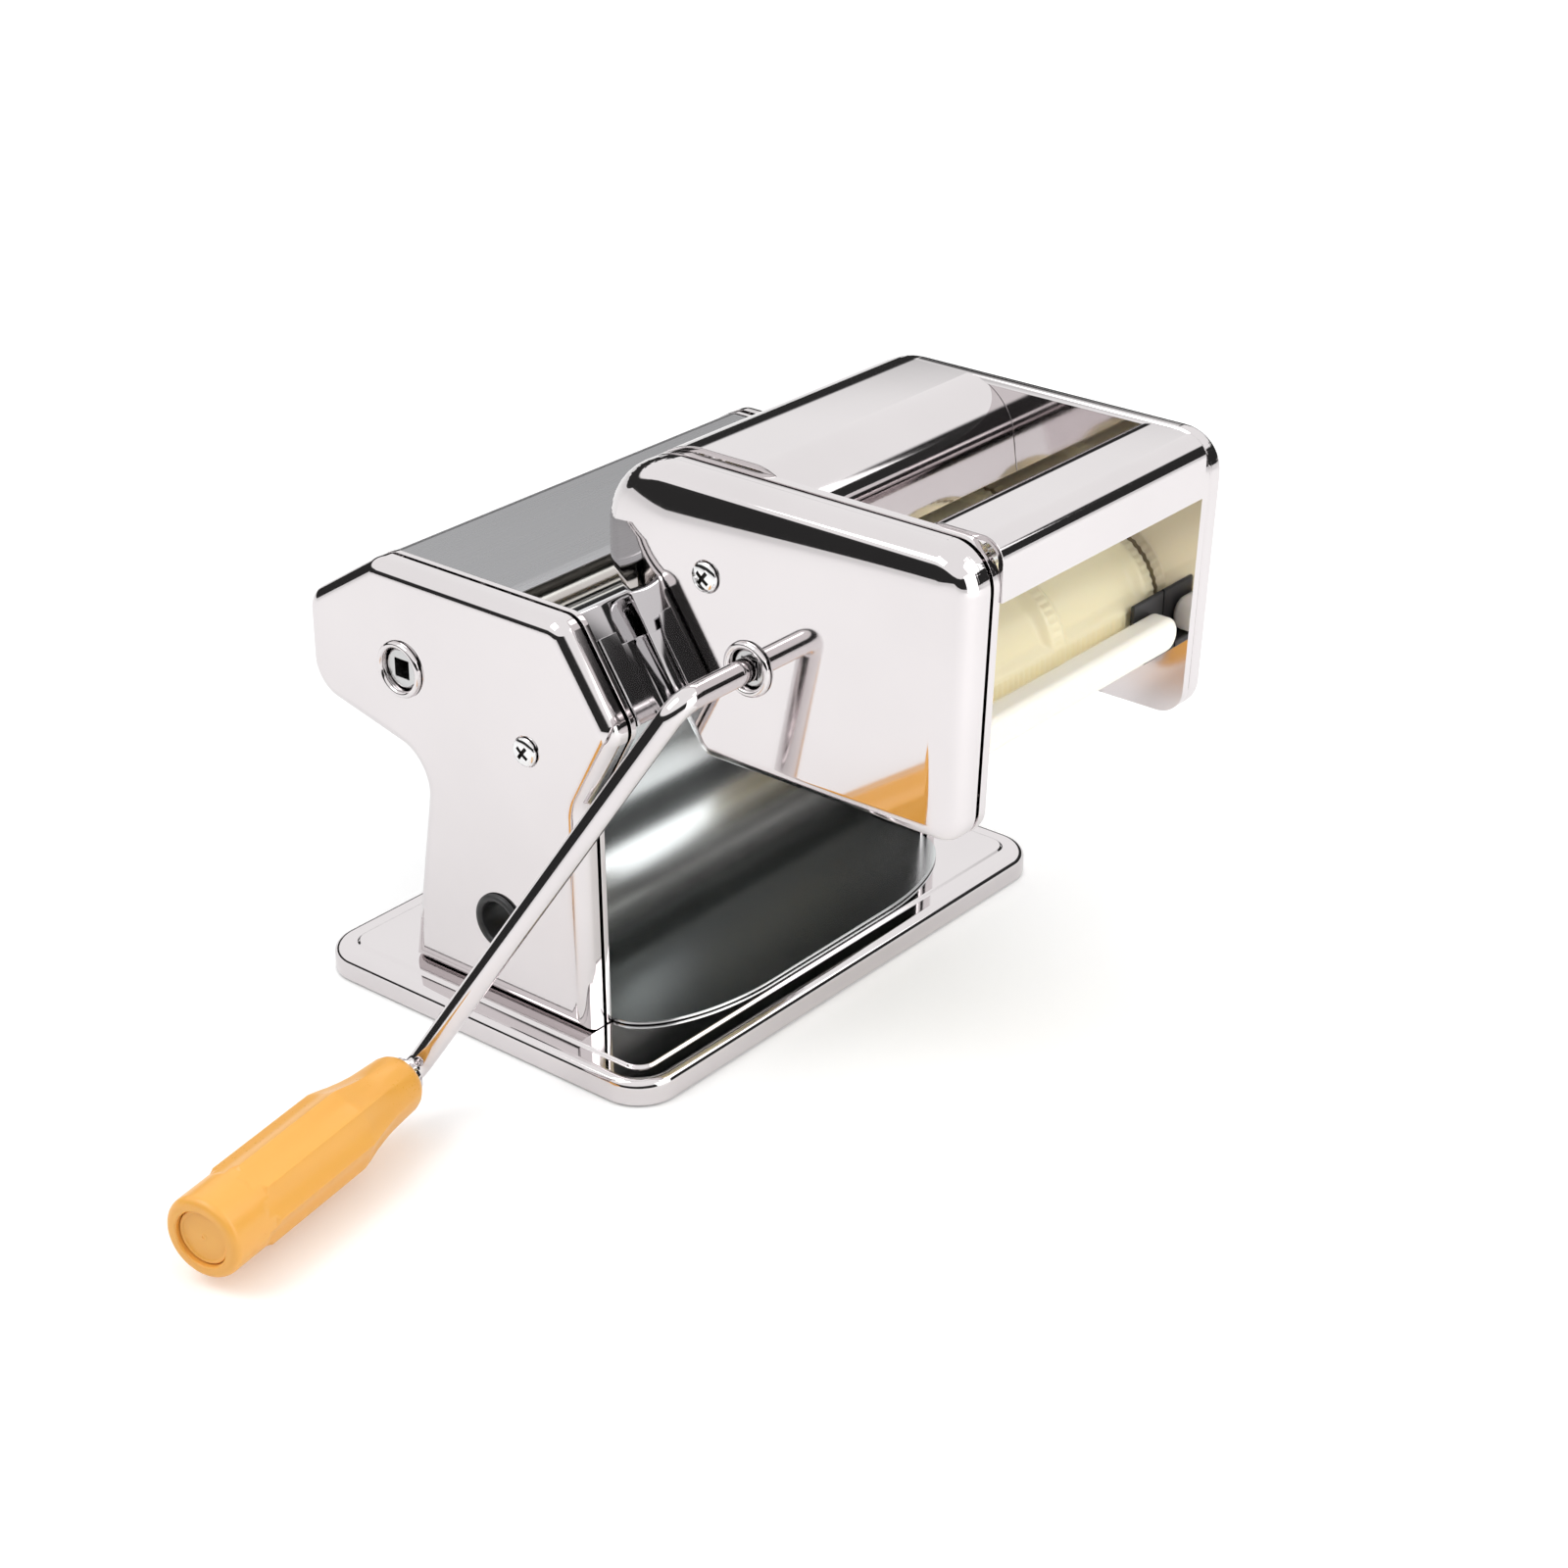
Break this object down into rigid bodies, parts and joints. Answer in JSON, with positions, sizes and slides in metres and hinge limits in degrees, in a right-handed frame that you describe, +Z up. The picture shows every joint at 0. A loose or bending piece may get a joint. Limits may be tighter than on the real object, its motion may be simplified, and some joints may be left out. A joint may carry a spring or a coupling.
{
  "type": "pasta machine",
  "caption": "Hand-cranked pasta machine on a flat base, with smooth rollers, a thickness dial, a slide-on ravioli head with pocketed rollers, and a removable crank with a turning grip.",
  "frame": {"origin": "middle of the underside of the rubber foot, on the surface that the machine stands on", "axes": "+X along the rollers from the crank side to the dial side, -Y towards the ravioli head at the front, +Z up"},
  "size_m": [0.3507, 0.2355, 0.193],
  "materials": {
    "polished_steel": "mirror polished stainless steel sheet",
    "satin_steel": "satin stainless steel sheet",
    "turned_steel": "turned and polished steel",
    "gear_steel": "machined steel, lightly oiled",
    "black_plastic": "black moulded plastic",
    "cream_plastic": "cream moulded nylon, semi-gloss",
    "orange_plastic": "orange-yellow moulded plastic, semi-gloss",
    "rubber_foot": "matt black rubber"
  },
  "bodies": {
    "machine": {"base_plate": "polished_steel", "rubber_foot": "rubber_foot", "near_casing": "polished_steel", "far_casing": "polished_steel", "near_frame_plate": "polished_steel", "far_frame_plate": "polished_steel", "near_casing_screw": "polished_steel", "far_casing_screw": "polished_steel", "screw_tie_rod": "turned_steel", "back_tie_rod": "turned_steel", "low_tie_rod": "turned_steel", "crank_hole_ring": "polished_steel", "clamp_socket": "black_plastic", "roller_hood": "satin_steel", "apron": "polished_steel", "front_panel": "polished_steel", "near_guide_rail": "polished_steel", "far_guide_rail": "polished_steel", "rear_scraper": "satin_steel", "front_scraper": "satin_steel", "near_roller_bush": "cream_plastic", "far_roller_bush": "cream_plastic", "dial_plate": "polished_steel"},
    "rear_roller": {"rear_roller": "turned_steel", "rear_roller_gear": "gear_steel"},
    "crank_gear": {"crank_gear": "gear_steel"},
    "bearing_blocks": {"near_bearing_block": "gear_steel", "far_bearing_block": "gear_steel"},
    "front_roller": {"front_roller": "turned_steel", "front_roller_gear": "gear_steel"},
    "dial_cam": {"dial_cam": "gear_steel"},
    "dial_knob": {"dial_knob": "black_plastic"},
    "ravioli_head": {"head_near_cover": "polished_steel", "head_far_cover": "polished_steel", "head_near_plate": "polished_steel", "head_far_plate": "polished_steel", "head_near_screw": "polished_steel", "head_far_screw": "polished_steel", "head_screw_rod": "turned_steel", "head_low_rod": "turned_steel", "head_front_rod": "turned_steel", "head_socket_ring": "polished_steel", "rear_hood": "polished_steel", "front_hood": "polished_steel", "near_hook_tab": "polished_steel", "far_hook_tab": "polished_steel", "exit_bar": "cream_plastic", "bar_clip": "black_plastic", "stripper_frame": "cream_plastic"},
    "drive_roller": {"drive_ravioli_roller": "cream_plastic", "drive_shaft": "polished_steel", "drive_gear": "cream_plastic"},
    "driven_roller": {"driven_ravioli_roller": "cream_plastic", "driven_shaft": "turned_steel", "driven_gear": "cream_plastic"},
    "crank": {"crank_rod": "polished_steel", "crank_collar": "polished_steel"},
    "grip": {"grip": "orange_plastic", "grip_end_plug": "orange_plastic"}
  },
  "joints": [
    {"name": "rear_roller_spin", "type": "hinge", "parent": "machine", "child": "rear_roller", "pos_m": [0, 0.01045, 0.1265], "axis": [1, 0, 0], "continuous": true},
    {"name": "crank_gear_spin", "type": "hinge", "parent": "machine", "child": "crank_gear", "pos_m": [0, 0.03573, 0.11249], "axis": [1, 0, 0], "continuous": true},
    {"name": "dial_turn", "type": "hinge", "parent": "machine", "child": "dial_cam", "pos_m": [0, -0.01845, 0.1265], "axis": [1, 0, 0], "range_deg": [0, 150]},
    {"name": "knob_pull", "type": "slide", "parent": "dial_cam", "child": "dial_knob", "axis": [1, 0, 0], "range_m": [0, 0.003], "stiffness_N_per_m": 600, "springref_m": -0.004},
    {"name": "roller_gap_slide", "type": "slide", "parent": "machine", "child": "bearing_blocks", "axis": [0, -1, 0], "range_m": [0, 0.0025]},
    {"name": "front_roller_spin", "type": "hinge", "parent": "bearing_blocks", "child": "front_roller", "pos_m": [0, -0.01845, 0.1265], "axis": [1, 0, 0], "continuous": true},
    {"name": "head_slide", "type": "slide", "parent": "machine", "child": "ravioli_head", "axis": [0, 0.5592, 0.829], "range_m": [0, 0.036]},
    {"name": "drive_roller_spin", "type": "hinge", "parent": "ravioli_head", "child": "drive_roller", "pos_m": [0, -0.0793, 0.1361], "axis": [1, 0, 0], "continuous": true},
    {"name": "driven_roller_spin", "type": "hinge", "parent": "ravioli_head", "child": "driven_roller", "pos_m": [0, -0.1224, 0.1361], "axis": [1, 0, 0], "continuous": true},
    {"name": "crank_pull", "type": "slide", "parent": "drive_roller", "child": "crank", "axis": [-1, 0, 0], "range_m": [0, 0.025]},
    {"name": "grip_spin", "type": "hinge", "parent": "crank", "child": "grip", "pos_m": [-0.1446, -0.01805, 0.01692], "axis": [-0.9848, -0.1736, 0], "continuous": true}
  ],
  "couplings": [
    {"joint": "crank_gear_spin", "follows": "rear_roller_spin", "ratio": -1},
    {"joint": "front_roller_spin", "follows": "rear_roller_spin", "ratio": -1},
    {"joint": "dial_turn", "follows": "roller_gap_slide", "rad_per_m": 1047.2},
    {"joint": "driven_roller_spin", "follows": "drive_roller_spin", "ratio": -1}
  ]
}
